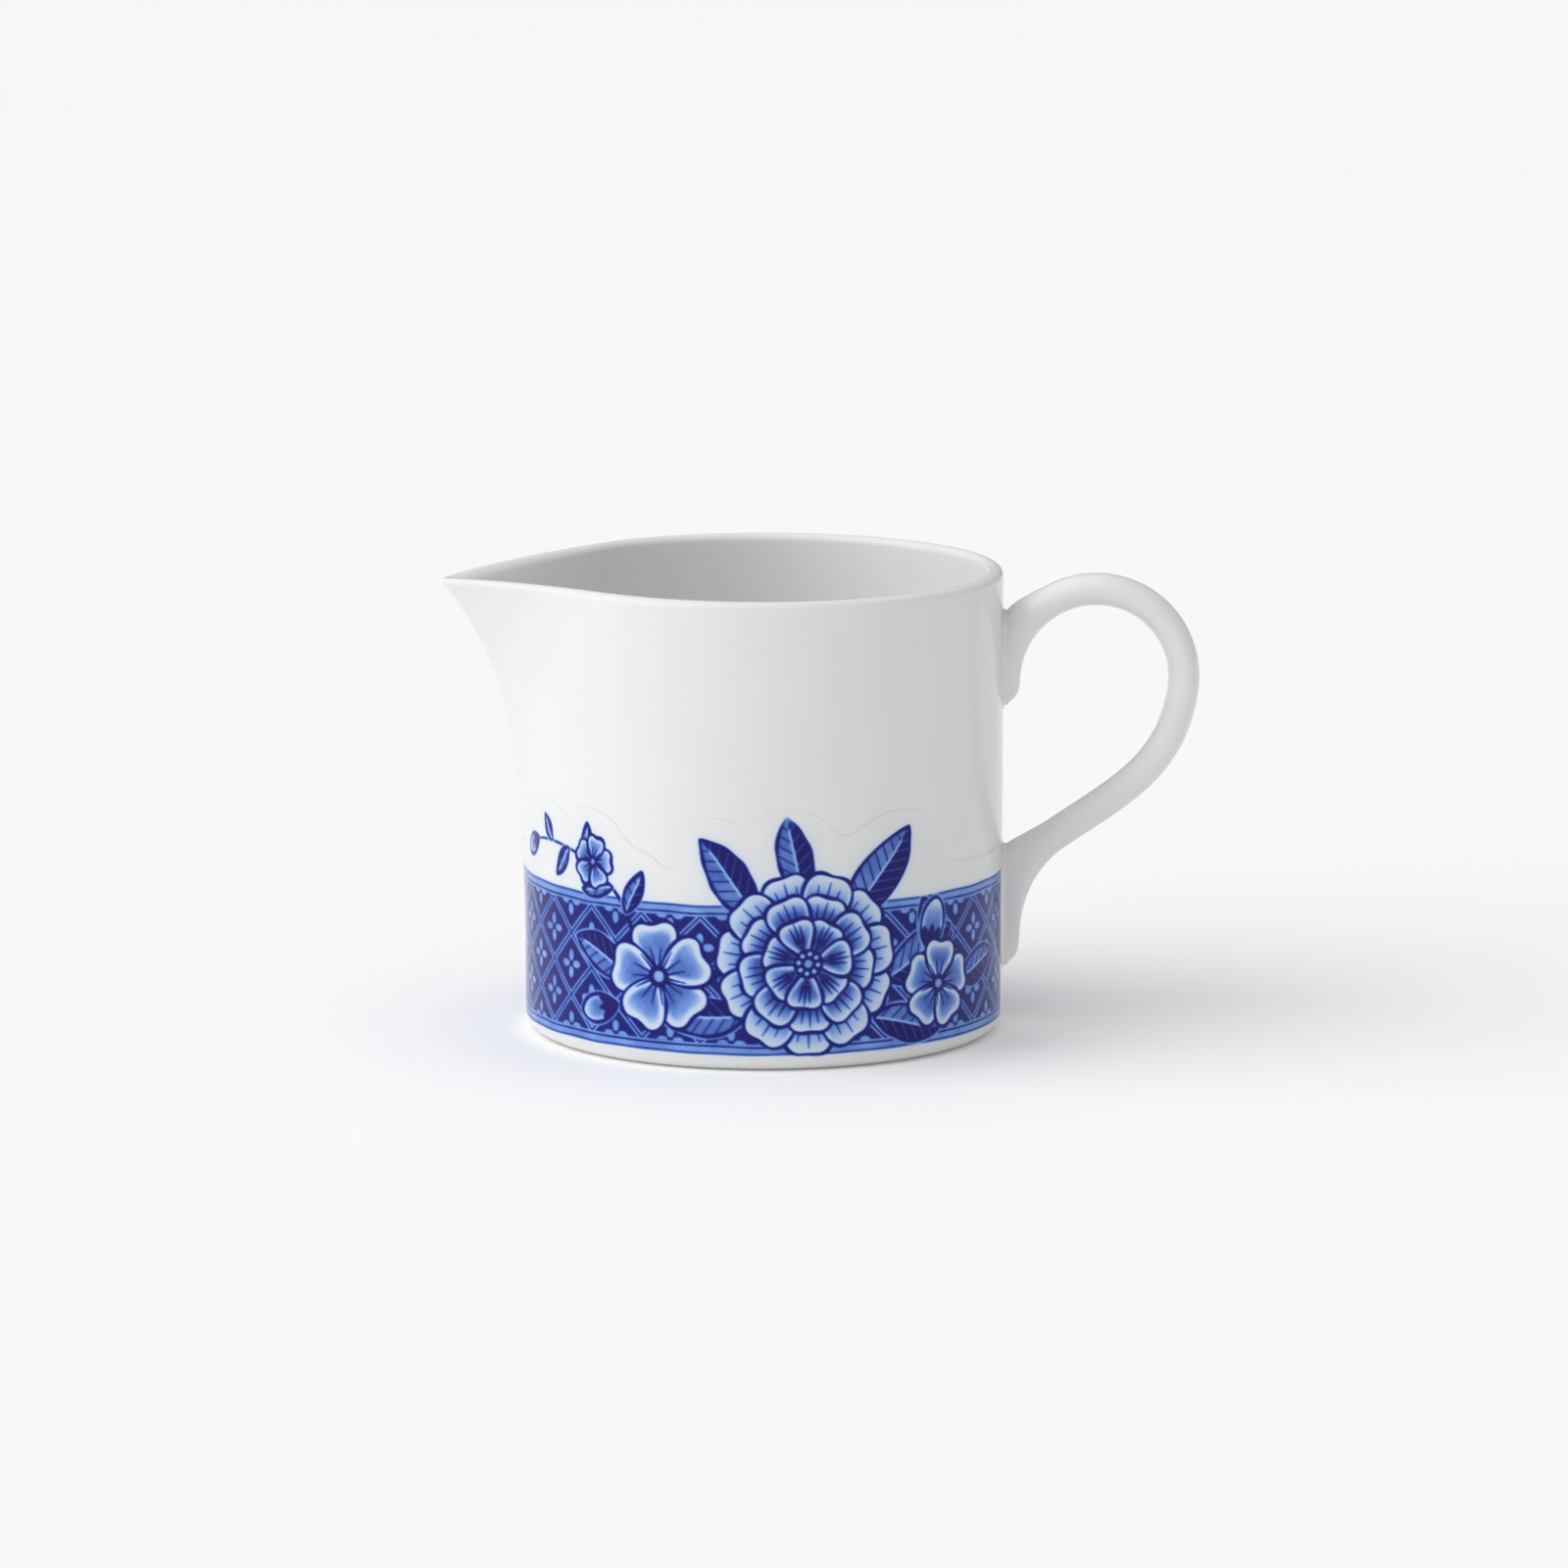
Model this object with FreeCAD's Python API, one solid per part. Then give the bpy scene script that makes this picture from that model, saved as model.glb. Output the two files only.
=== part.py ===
"""Porcelain cream jug: a straight-sided body with a pulled spout, a looped strap handle luted on with slip,
and two printed cobalt transfer sheets round the lower wall.

Millimetres, +Z up. The origin is the centre of the foot on the table plane. The spout points along -X and
the handle along +X, so the plane y = 0 is the jug's plane of symmetry.
"""
import FreeCAD
import Part

import math
import os

from FreeCAD import Vector

# ---------------------------------------------------------------- driving dimensions
BODY_RADIUS = 38.0          # outside of the straight wall
BODY_HEIGHT = 74.0          # foot to the crown of the rim
WALL = 2.6                  # wall of the cast body
FLOOR = 3.4                 # thickness of the floor over the recess
BASE_ROUNDING = 3.2         # outside corner between the wall and the foot
FLOOR_ROUNDING = 6.0        # inside corner between the wall and the floor
FOOT_WIDTH = 3.0            # width of the ring that the jug stands on
FOOT_RECESS = 1.2           # depth of the recess inside the foot ring
RIM_ROUNDING_SHARE = 0.36   # rim rounding as a share of the wall, short of a full round

SPOUT_REACH = 13.5          # how far the tip stands out from the straight wall
SPOUT_START = 12.0          # height where the wall begins to lean out under the spout
SPOUT_DIP = 1.9             # how far the rim falls towards the tip
RIM_DIP_START = 20.1        # distance from the axis where the rim begins to fall
SPOUT_TIP_RADIUS = 2.2      # roundness of the spout's nose at the rim, in plan
SPOUT_BASE_RADIUS = 22.0    # roundness of the spout's nose where it begins, in plan

STRAP_THICKNESS = 5.0       # handle strap, seen from the side
STRAP_WIDTH = 7.6           # handle strap, across the jug
HANDLE_REACH = 28.7         # straight wall to the strap's middle line at its furthest
HANDLE_TOP_DROP = 3.6       # rim crown down to the strap's middle line at its highest
LOOP_RADIUS = 14.0          # strap's middle line round the top of the loop
UPPER_ROOT_DROP = 14.6      # rim crown down to the middle of the upper root
UPPER_ROOT_HEIGHT = 15.0    # height of the upper root on the wall
LOWER_ROOT_MIDDLE = 19.6    # foot up to the middle of the lower root
LOWER_ROOT_HEIGHT = 19.4    # height of the lower root on the wall
LOWER_ENTRY_OUT = 8.8       # straight wall to the strap's middle line where the lower root begins
LOWER_ENTRY_RISE = 11.6     # middle of the lower root up to that same point
LOWER_ENTRY_HEADING = 214.0  # degrees, the strap's way there, down towards the wall
ROOT_WIDTH = 9.4            # width of both roots on the wall
ROOT_TAIL = 2.6             # how far the tail below each root stands out from the wall
TAIL_RISE = 3.1             # height of the slanted, rounded toe that ends each tail
TAIL_SLANT = 38.0           # degrees above level, the toe's slope where it leaves the wall
TAIL_LEDGE = 0.15           # level underside between the slip and the toe

SLIP_GAP = 0.35             # slip between the wall and a root
SLIP_FILLET = 0.9           # how far the slip spreads round a root

FILM = 0.08                 # fired thickness of the printed transfer
FILM_BOTTOM = 2.2           # table to the lower edge of the transfers, part way round the base rounding
FILM_TOP = 41.6             # table to the upper edge of the transfers
FILM_HANDLE_MARGIN = 0.6    # bare wall left between a transfer and the slip round the handle
FILM_SPOUT_GAP = 0.3        # gap between the two transfers under the spout

# ---------------------------------------------------------------- derived places
NOSE_HEIGHT = BODY_HEIGHT - SPOUT_DIP               # crown of the rim at the spout's tip
SPARE = 4.0                                         # how far blanks run past what trims them
RIM_ROUNDING = RIM_ROUNDING_SHARE * WALL
SPOUT_CHANNEL_RADIUS = 1.25 * RIM_ROUNDING          # roundness of the pouring channel at the rim, in plan
SPOUT_NOSE_WALL = 1.15 * WALL                       # level thickness of the nose at the rim
FLOOR_TOP = FOOT_RECESS + FLOOR
FOOT_OUTER = BODY_RADIUS - BASE_ROUNDING
FOOT_INNER = FOOT_OUTER - FOOT_WIDTH
LOOP_MIDDLE = (BODY_RADIUS + HANDLE_REACH - LOOP_RADIUS, BODY_HEIGHT - HANDLE_TOP_DROP - LOOP_RADIUS)
LOOP_FROM, LOOP_TO = 118.0, -8.0                    # degrees round the loop, from the upper root over the top
LOWER_ENTRY = (BODY_RADIUS + LOWER_ENTRY_OUT, LOWER_ROOT_MIDDLE + LOWER_ENTRY_RISE)
OVAL_POINTS = 16                                    # points round each of the handle's sections


# ---------------------------------------------------------------- body
def spout_lean(z):
    """How far the nose of the spout stands out from the straight wall at height z."""
    t = max(0.0, (z - SPOUT_START) / (NOSE_HEIGHT - SPOUT_START))
    return SPOUT_REACH * (0.34 * t**2 + 0.66 * t**5)


def nose_radius(z, at_base, at_rim):
    """Roundness of the nose in plan: broad where the spout begins and tight at the rim."""
    t = min(1.0, max(0.0, (z - SPOUT_START) / (NOSE_HEIGHT - SPOUT_START)))
    return at_base + (at_rim - at_base) * t**0.7


def rim_height(x):
    """Height of the rim's crown over the point x on the jug's plane of symmetry."""
    nose = BODY_RADIUS + SPOUT_REACH
    t = max(0.0, (-x - RIM_DIP_START) / (nose - RIM_DIP_START))
    return BODY_HEIGHT - SPOUT_DIP * t**2.2


def plan_section(z, wall_radius, nose, tip):
    """Closed outline at height z: the wall's circle and the nose's arc, joined by their common tangents.
    nose is the arc's radius and tip the distance of its furthest point from the axis."""
    centre = tip - nose
    lean = math.acos(min(1.0, (wall_radius - nose) / centre))
    c, s = math.cos(lean), math.sin(lean)
    wall_side = [Vector(-wall_radius * c, sign * wall_radius * s, z) for sign in (-1, 1)]
    nose_side = [Vector(-centre - nose * c, sign * nose * s, z) for sign in (-1, 1)]
    edges = [
        Part.Arc(wall_side[0], Vector(wall_radius, 0, z), wall_side[1]).toShape(),
        Part.LineSegment(wall_side[1], nose_side[1]).toShape(),
        Part.Arc(nose_side[1], Vector(-tip, 0, z), nose_side[0]).toShape(),
        Part.LineSegment(nose_side[0], wall_side[0]).toShape(),
    ]
    return Part.Wire(edges)


def round_section(z, wall_radius, nose, tip):
    """The wall's plain circle, split where plan_section splits at the same sizes."""
    lean = math.acos(min(1.0, (wall_radius - nose) / (tip - nose)))

    def on_wall(angle):
        return Vector(-wall_radius * math.cos(angle), wall_radius * math.sin(angle), z)

    stops = [-lean, lean, 0.5 * lean, -0.5 * lean, -lean]
    middles = [math.pi, 0.75 * lean, 0.0, -0.75 * lean]
    return Part.Wire([
        Part.Arc(on_wall(a), on_wall(m), on_wall(b)).toShape()
        for a, m, b in zip(stops[:-1], middles, stops[1:])
    ])


def section_heights():
    """Heights of the spout's sections, closer together where the wall leans out fastest."""
    steps = 11
    top = BODY_HEIGHT + SPARE
    low = SPOUT_START + 0.12 * (NOSE_HEIGHT - SPOUT_START)
    return [low + (top - low) * (1 - (1 - i / (steps - 1)) ** 1.5) for i in range(steps)]


def spouted_blank(bottom, wall_radius, channel=False, grow=0.0):
    """Solid jug shape from bottom up past the rim. channel gives the inside; grow is an outward allowance."""
    def nose(z):
        if channel:
            return nose_radius(z, SPOUT_BASE_RADIUS - WALL, SPOUT_CHANNEL_RADIUS)
        return nose_radius(z, SPOUT_BASE_RADIUS, SPOUT_TIP_RADIUS) + grow

    def tip(z):
        share = spout_lean(z) / SPOUT_REACH
        inset = WALL + (SPOUT_NOSE_WALL - WALL) * min(1.0, share) if channel else -grow
        return BODY_RADIUS + spout_lean(z) - inset

    heights = section_heights()
    first = heights[0]
    wires = [round_section(SPOUT_START, wall_radius, nose(first), tip(first))]
    wires += [plan_section(z, wall_radius, nose(z), tip(z)) for z in heights]
    upper = Part.makeLoft(wires, True, False)
    lower = Part.makeCylinder(wall_radius, SPOUT_START - bottom, Vector(0, 0, bottom))
    return lower.fuse(upper).removeSplitter()


def rim_trim():
    """Everything above the rim's crown line."""
    half = BODY_RADIUS + spout_lean(BODY_HEIGHT + SPARE) + SPARE
    steps = 8
    falls = [-RIM_DIP_START - (half - RIM_DIP_START) * i / (steps - 1) for i in range(steps)]
    crown = Part.BSplineCurve()
    crown.interpolate([Vector(x, -half, rim_height(x)) for x in reversed(falls)],
                      FinalTangent=Vector(1, 0, 0), InitialTangent=Vector(1, 0, 0.4))
    start = Vector(-RIM_DIP_START, -half, BODY_HEIGHT)
    right = Vector(half, -half, BODY_HEIGHT)
    top = BODY_HEIGHT + 2 * SPARE
    left = crown.StartPoint
    corners = [right, Vector(half, -half, top), Vector(left.x, -half, top), left]
    edges = [crown.toShape(), Part.LineSegment(start, right).toShape()]
    edges += [Part.LineSegment(a, b).toShape() for a, b in zip(corners[:-1], corners[1:])]
    return Part.Face(Part.Wire(edges)).extrude(Vector(0, 2 * half, 0))


def foot_recess():
    """The shallow dish inside the foot ring."""
    slope = FOOT_RECESS
    return Part.makeCone(FOOT_INNER, FOOT_INNER - slope, FOOT_RECESS)


def edges_on_circle(shape, radius, z):
    """The shape's edges that lie on the level circle of this radius round the axis."""
    def on_it(edge):
        points = edge.discretize(5)
        return all(abs(math.hypot(p.x, p.y) - radius) < 0.01 and abs(p.z - z) < 0.01 for p in points)
    return [e for e in shape.Edges if on_it(e)]


def crown_edges(shape):
    """The loops where the rim's trimmed top meets the outside and the inside."""
    def is_crown(face):
        u0, u1, v0, v1 = face.ParameterRange
        upright = abs(face.normalAt((u0 + u1) / 2, (v0 + v1) / 2).z) > 0.8
        return upright and min(v.Z for v in face.Vertexes) > NOSE_HEIGHT - WALL
    sides = [e for f in shape.Faces if is_crown(f) for e in f.Edges]
    return [e for e in sides if sum(e.isSame(other) for other in sides) == 1]


def outside_form(grow=0.0):
    """The jug's outer form before it is hollowed, with its rounded base corner. grow swells it all over."""
    radius = BODY_RADIUS + grow
    blank = spouted_blank(-grow, radius, grow=grow)
    return blank.makeFillet(BASE_ROUNDING + grow, edges_on_circle(blank, radius, -grow))


def make_body():
    inside = spouted_blank(FLOOR_TOP, BODY_RADIUS - WALL, channel=True)
    inside = inside.makeFillet(FLOOR_ROUNDING, edges_on_circle(inside, BODY_RADIUS - WALL, FLOOR_TOP))
    shell = outside_form().cut(inside).cut(foot_recess()).cut(rim_trim())
    return shell.makeFillet(RIM_ROUNDING, crown_edges(shell))


# ---------------------------------------------------------------- handle
def polar(radius, degrees):
    """The (x, z) offset of this length at this angle above +X."""
    return radius * math.cos(math.radians(degrees)), radius * math.sin(math.radians(degrees))


def moved(point, offset, times=1.0):
    return point[0] + offset[0] * times, point[1] + offset[1] * times


def bezier(a, b, c, d, t):
    """The point at t on the cubic with these four control points."""
    weights = ((1 - t) ** 3, 3 * t * (1 - t) ** 2, 3 * t**2 * (1 - t), t**3)
    return tuple(sum(w * p[i] for w, p in zip(weights, (a, b, c, d))) for i in range(2))


def eased(start, start_heading, end, end_heading, pull, steps):
    """Points from start to end on a cubic that leaves and arrives at these headings. pull is the
    share of the distance between the ends that each control point lies away from its end."""
    reach = pull * math.dist(start, end)
    b = moved(start, polar(reach, start_heading))
    c = moved(end, polar(reach, end_heading), -1)
    return [bezier(start, b, c, end, i / steps) for i in range(steps + 1)]


def root_edges(middle, height, leaving, top, tail, heading):
    """Pairs of upper and lower points from the wall to where the strap begins. The upper side leaves the
    wall at one heading; top and tail are the strap's first upper and lower points, heading the strap's."""
    upper, lower = middle + height / 2, middle - height / 2
    foot, flank = BODY_RADIUS + SLIP_GAP + TAIL_LEDGE, (BODY_RADIUS + ROOT_TAIL, lower + TAIL_RISE)
    inner = [(BODY_RADIUS - 1.5, lower), (foot, lower)]
    inner += eased(inner[-1], TAIL_SLANT, flank, 88, 0.42, 4)[1:]
    inner += eased(flank, 88, tail, heading, 0.38, 5)[1:]
    outer = [(BODY_RADIUS - 1.5, upper), (foot, upper)]
    outer += eased(outer[-1], leaving, top, heading, 0.3, len(inner) - 2)[1:]
    return list(zip(outer, inner))


def strap_edges():
    """Pairs of outer and inner points along the plain strap, from the upper root to the lower one."""
    half = STRAP_THICKNESS / 2
    steps = 12
    pairs = []
    for i in range(steps + 1):
        angle = LOOP_FROM + (LOOP_TO - LOOP_FROM) * i / steps
        outer = moved(LOOP_MIDDLE, polar(LOOP_RADIUS + half, angle))
        inner = moved(LOOP_MIDDLE, polar(LOOP_RADIUS - half, angle))
        pairs.append((outer, inner))
    loop_end = moved(LOOP_MIDDLE, polar(LOOP_RADIUS, LOOP_TO))
    line = eased(loop_end, LOOP_TO - 90, LOWER_ENTRY, LOWER_ENTRY_HEADING, 0.41, 11)
    headings = [math.degrees(math.atan2(b[1] - a[1], b[0] - a[0])) for a, b in zip(line[:-2], line[2:])]
    for here, heading in zip(line[1:], headings + [LOWER_ENTRY_HEADING]):
        across = polar(half, heading + 90)
        pairs.append((moved(here, across), moved(here, across, -1)))
    return pairs


def handle_stations():
    """(outer point, inner point, width) all along the handle, from the upper root round to the lower."""
    strap = strap_edges()
    first, last = strap[0], strap[-1]
    upper = root_edges(BODY_HEIGHT - UPPER_ROOT_DROP, UPPER_ROOT_HEIGHT, 52, *first, LOOP_FROM - 90)
    back = LOWER_ENTRY_HEADING - 180
    lower = root_edges(LOWER_ROOT_MIDDLE, LOWER_ROOT_HEIGHT, back, last[1], last[0], back)
    lower = [(under, over) for over, under in lower]
    ease = len(upper) - 1

    def width(i):
        t = i / ease
        return ROOT_WIDTH + (STRAP_WIDTH - ROOT_WIDTH) * (3 * t**2 - 2 * t**3)

    stations = [(a, b, width(i)) for i, (a, b) in enumerate(upper[:-1])]
    stations += [(a, b, STRAP_WIDTH) for a, b in strap]
    stations += [(a, b, width(i)) for i, (a, b) in reversed(list(enumerate(lower[:-1])))]
    return stations


def oval(outer, inner, width, grow=0.0):
    """Points of a rounded section between an outer and an inner point of the jug's plane of symmetry."""
    middle = Vector((outer[0] + inner[0]) / 2, 0, (outer[1] + inner[1]) / 2)
    up = Vector(outer[0] - inner[0], 0, outer[1] - inner[1]) * 0.5
    up = up * ((up.Length + grow) / up.Length)
    across = Vector(0, width / 2 + grow, 0)
    squareness = 0.88

    def at(angle):
        c, s = math.cos(angle), math.sin(angle)
        return (middle + up * math.copysign(abs(c) ** squareness, c)
                + across * math.copysign(abs(s) ** squareness, s))

    return [at(2 * math.pi * i / OVAL_POINTS) for i in range(OVAL_POINTS)]


def closed_curve(points):
    """Smooth closed curve through the points, all such curves being split alike along their length."""
    curve = Part.BSplineCurve()
    curve.interpolate(points, PeriodicFlag=True, Parameters=[i / OVAL_POINTS for i in range(OVAL_POINTS + 1)])
    return curve


def skinned(rings):
    """Solid whose smooth side runs through all the rings of points, closed flat at both ends."""
    places = [0.0]
    for before, after in zip(rings[:-1], rings[1:]):
        step = sum((a - b).Length for a, b in zip(before, after)) / OVAL_POINTS
        places.append(places[-1] + step)
    sections = [closed_curve(ring) for ring in rings]
    lines = []
    for poles in zip(*[section.getPoles() for section in sections]):
        line = Part.BSplineCurve()
        line.interpolate(list(poles), Parameters=places)
        lines.append(line)
    along, around = lines[0], sections[0]
    side = Part.BSplineSurface()
    side.buildFromPolesMultsKnots(list(zip(*[line.getPoles() for line in lines])),
                                  along.getMultiplicities(), around.getMultiplicities(),
                                  along.getKnots(), around.getKnots(),
                                  False, True, along.Degree, around.Degree)
    ends = [Part.Face(Part.Wire([section.toShape()])) for section in (sections[0], sections[-1])]
    shell = Part.Shell([side.toShape()] + ends)
    shell.sewShape()
    solid = Part.Solid(shell)
    if solid.Volume < 0:
        solid.reverse()
    return solid


def wall_cylinder(radius):
    return Part.makeCylinder(radius, BODY_HEIGHT + 2 * SPARE, Vector(0, 0, -SPARE))


def make_handle():
    loop = skinned([oval(*station) for station in handle_stations()])
    return loop.cut(wall_cylinder(BODY_RADIUS + SLIP_GAP))


def make_slip(middle, height, handle):
    """Slip between a root and the wall, with the fillet that is sponged round it."""
    def ring(x, grow):
        points = oval((x, middle + height / 2), (x, middle - height / 2), ROOT_WIDTH, grow)
        return Part.Wire([closed_curve(points).toShape()])

    profile = [(-1.0, 1.0), (0.0, 1.0), (0.3, 0.45), (0.95, 0.06)]
    blank = Part.makeLoft([ring(BODY_RADIUS + dx, SLIP_FILLET * grow) for dx, grow in profile], True, True)
    return blank.cut(wall_cylinder(BODY_RADIUS)).cut(handle)


# ---------------------------------------------------------------- printed transfers
def make_transfer(side):
    """One printed sheet on the lower wall. side is -1 for the sheet at -Y and +1 for the one at +Y."""
    film = outside_form(FILM).cut(outside_form())
    reach = BODY_RADIUS + SPOUT_REACH + SPARE
    low = FILM_SPOUT_GAP / 2
    past_handle = ROOT_WIDTH / 2 + SLIP_FILLET + FILM_HANDLE_MARGIN
    height = FILM_TOP - FILM_BOTTOM
    spout_half = Part.makeBox(reach, reach, height, Vector(-reach, low, FILM_BOTTOM))
    handle_half = Part.makeBox(reach, reach, height, Vector(0, past_handle, FILM_BOTTOM))
    keep = spout_half.fuse(handle_half)
    if side < 0:
        keep = keep.mirror(Vector(0, 0, 0), Vector(0, 1, 0))
    return film.common(keep)


# ---------------------------------------------------------------- all parts
def make_parts():
    handle = make_handle()
    upper = (BODY_HEIGHT - UPPER_ROOT_DROP, UPPER_ROOT_HEIGHT)
    lower = (LOWER_ROOT_MIDDLE, LOWER_ROOT_HEIGHT)
    return {
        "jug_body": make_body(),
        "handle": handle,
        "upper_slip_joint": make_slip(*upper, handle),
        "lower_slip_joint": make_slip(*lower, handle),
        "front_transfer": make_transfer(-1),
        "back_transfer": make_transfer(1),
    }


def extents(solid):
    """Lowest and highest x, y and z of a solid, from its mesh, because a trimmed face's own box is loose."""
    points = solid.tessellate(0.05)[0]
    return [(min(p[i] for p in points), max(p[i] for p in points)) for i in range(3)]


def main():
    os.makedirs("parts", exist_ok=True)
    for name, shape in make_parts().items():
        solids = shape.Solids
        assert len(solids) == 1 and solids[0].isValid(), f"{name} is {len(solids)} solids"
        solids[0].exportStep(f"parts/{name}.step")
        reaches = zip("xyz", extents(solids[0]))
        spans = "  ".join(f"{axis} {low:7.2f} {high:7.2f}" for axis, (low, high) in reaches)
        print(f"{name:18s} {solids[0].Volume:9.1f} mm3  {spans}")


if __name__ == "__main__":
    main()
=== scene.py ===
"""Looks of the porcelain cream jug: glazed white body, handle and joints, and the cobalt print round it.

Lengths here are millimetres until a mesh is written, and every piece is built in the CAD frame: +Z up, the
foot's centre at the origin, the spout towards -X and the handle towards +X.
"""

import math

import bpy
import numpy as np
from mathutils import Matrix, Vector


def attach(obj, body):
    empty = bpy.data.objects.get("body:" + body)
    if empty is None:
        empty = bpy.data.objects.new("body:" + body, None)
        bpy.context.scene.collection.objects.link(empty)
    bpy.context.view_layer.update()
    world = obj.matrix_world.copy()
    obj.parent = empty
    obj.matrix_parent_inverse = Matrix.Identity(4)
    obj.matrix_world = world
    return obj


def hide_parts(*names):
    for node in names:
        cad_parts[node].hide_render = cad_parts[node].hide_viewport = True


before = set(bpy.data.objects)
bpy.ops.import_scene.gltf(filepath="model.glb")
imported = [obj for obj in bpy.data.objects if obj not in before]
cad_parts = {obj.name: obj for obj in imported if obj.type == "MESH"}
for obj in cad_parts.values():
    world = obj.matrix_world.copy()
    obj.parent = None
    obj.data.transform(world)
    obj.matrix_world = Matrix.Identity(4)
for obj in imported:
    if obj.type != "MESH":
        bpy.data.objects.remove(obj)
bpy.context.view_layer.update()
bpy.context.scene.view_settings.view_transform = "Standard"

# ---------------------------------------------------------------- sizes, as in the CAD
RADIUS, HEIGHT, WALL = 38.0, 74.0, 2.6
FLOOR_TOP, FLOOR_ROUNDING, BASE_ROUNDING = 4.6, 6.0, 3.2
FOOT_WIDTH, FOOT_RECESS = 3.0, 1.2
SPOUT_REACH, SPOUT_START, SPOUT_DIP = 13.5, 12.0, 1.9
NOSE_HEIGHT = HEIGHT - SPOUT_DIP
NOSE_AT_BASE, NOSE_AT_RIM, CHANNEL_AT_RIM = 22.0, 2.2, 1.17    # roundness in plan, outside and inside
RIM_DIP_START, RIM_HALF_ROUND = 20.1, 1.2    # where the rim begins to fall, and how tall its rounding is
STRAP, STRAP_WIDTH, ROOT_WIDTH = 5.0, 7.6, 9.4
LOOP_RADIUS, LOOP_X, LOOP_Z = 14.0, 52.7, 56.4
LOOP_FROM, LOOP_TO = 118.0, -8.0
ENTRY, ENTRY_HEADING = (46.8, 31.2), 214.0
UPPER_ROOT, LOWER_ROOT = (59.4, 15.0), (19.6, 19.4)    # middle and height on the wall
ROOT_TAIL, TAIL_RISE, TAIL_SLANT, TAIL_LEDGE = 2.6, 3.1, 38.0, 0.15
SLIP_GAP, SLIP_FILLET = 0.35, 0.9


# ---------------------------------------------------------------- meshes
def piece(name, co, faces, materials, slot, cad_nodes, uv=None):
    """A smooth mesh object from points in millimetres, riding on the frame in place of CAD nodes."""
    mesh = bpy.data.meshes.new(name)
    sizes = np.array([len(f) for f in faces], np.int32)
    loops = np.concatenate(faces).astype(np.int32)
    mesh.vertices.add(len(co))
    mesh.vertices.foreach_set("co", (np.asarray(co) * 0.001).astype(np.float32).ravel())
    mesh.loops.add(len(loops))
    mesh.loops.foreach_set("vertex_index", loops)
    mesh.polygons.add(len(sizes))
    mesh.polygons.foreach_set("loop_start", (np.cumsum(sizes) - sizes).astype(np.int32))
    mesh.polygons.foreach_set("use_smooth", np.full(len(sizes), True))
    mesh.update(calc_edges=True)
    mesh.validate()
    for material in materials:
        mesh.materials.append(material)
    if uv is not None:
        layer = mesh.uv_layers.new(name="OFBake")
        layer.uv.foreach_set("vector", uv[loops].astype(np.float32).ravel())
    made = bpy.data.objects.new(name, mesh)
    bpy.context.scene.collection.objects.link(made)
    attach(made, "root")
    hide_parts(*cad_nodes)
    return made


def rings_faces(rings, around, closed=True):
    """Quads between successive rings that each have the same number of points."""
    k, j = np.meshgrid(np.arange(rings - 1), np.arange(around if closed else around - 1), indexing="ij")
    nxt = (j + 1) % around
    quads = np.stack([k * around + j, (k + 1) * around + j, (k + 1) * around + nxt, k * around + nxt], -1)
    return quads.reshape(-1, 4)


def capped(rings):
    """Points and outward faces of a closed skin through the rings, with a flat cap at each end."""
    n = len(rings[0])
    first, last = np.arange(n), np.arange(n)[::-1] + n * (len(rings) - 1)
    return np.concatenate(rings), [*rings_faces(len(rings), n), first, last]


# ---------------------------------------------------------------- the wall's surface
def lean_at(z):
    """How far the spout's nose stands out from the straight wall at height z."""
    t = np.clip((z - SPOUT_START) / (NOSE_HEIGHT - SPOUT_START), 0, None)
    return SPOUT_REACH * (0.34 * t**2 + 0.66 * t**5)


def wall_distance(theta, z, inside=False):
    """Distance from the axis to the wall at height z and at the plan angle theta from the spout."""
    t = np.clip((z - SPOUT_START) / (NOSE_HEIGHT - SPOUT_START), 1e-4, 1) ** 0.7
    lean = np.maximum(lean_at(z), 1e-5)
    if inside:
        radius, nose = RADIUS - WALL, (NOSE_AT_BASE - WALL) + (CHANNEL_AT_RIM - NOSE_AT_BASE + WALL) * t
        tip = RADIUS + lean - (WALL + 0.15 * WALL * np.minimum(1, lean / SPOUT_REACH))
    else:
        radius, nose, tip = RADIUS, NOSE_AT_BASE + (NOSE_AT_RIM - NOSE_AT_BASE) * t, RADIUS + lean
    centre = tip - nose
    a = np.abs(theta)
    tangent = np.arccos(np.minimum(1, (radius - nose) / centre))
    nose_end = np.arctan2(nose * np.sin(tangent), centre + nose * np.cos(tangent))
    on_line = radius / np.cos(np.minimum(tangent - a, 1.5))
    on_nose = centre * np.cos(a) + np.sqrt(np.maximum(nose**2 - (centre * np.sin(a)) ** 2, 0))
    return np.where(a >= tangent, radius, np.where(a >= nose_end, on_line, on_nose))


def outside_distance(theta, z):
    """The same for the outside, with the rounding at the base."""
    down = np.clip(BASE_ROUNDING - z, 0, BASE_ROUNDING)
    return wall_distance(theta, z) - BASE_ROUNDING + np.sqrt(BASE_ROUNDING**2 - down**2)


def at(theta, distance, z):
    """Points at the plan angle theta from the spout, this far from the axis."""
    return np.stack(np.broadcast_arrays(-distance * np.cos(theta), distance * np.sin(theta), z), -1)


def crown_height(theta):
    """Height of the rim's highest line at each plan angle."""
    x = wall_distance(theta, np.full_like(theta, NOSE_HEIGHT)) - WALL / 2
    t = np.clip((x * np.cos(theta) - RIM_DIP_START) / (RADIUS + SPOUT_REACH - RIM_DIP_START), 0, None)
    return HEIGHT - SPOUT_DIP * t**2.2


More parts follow.
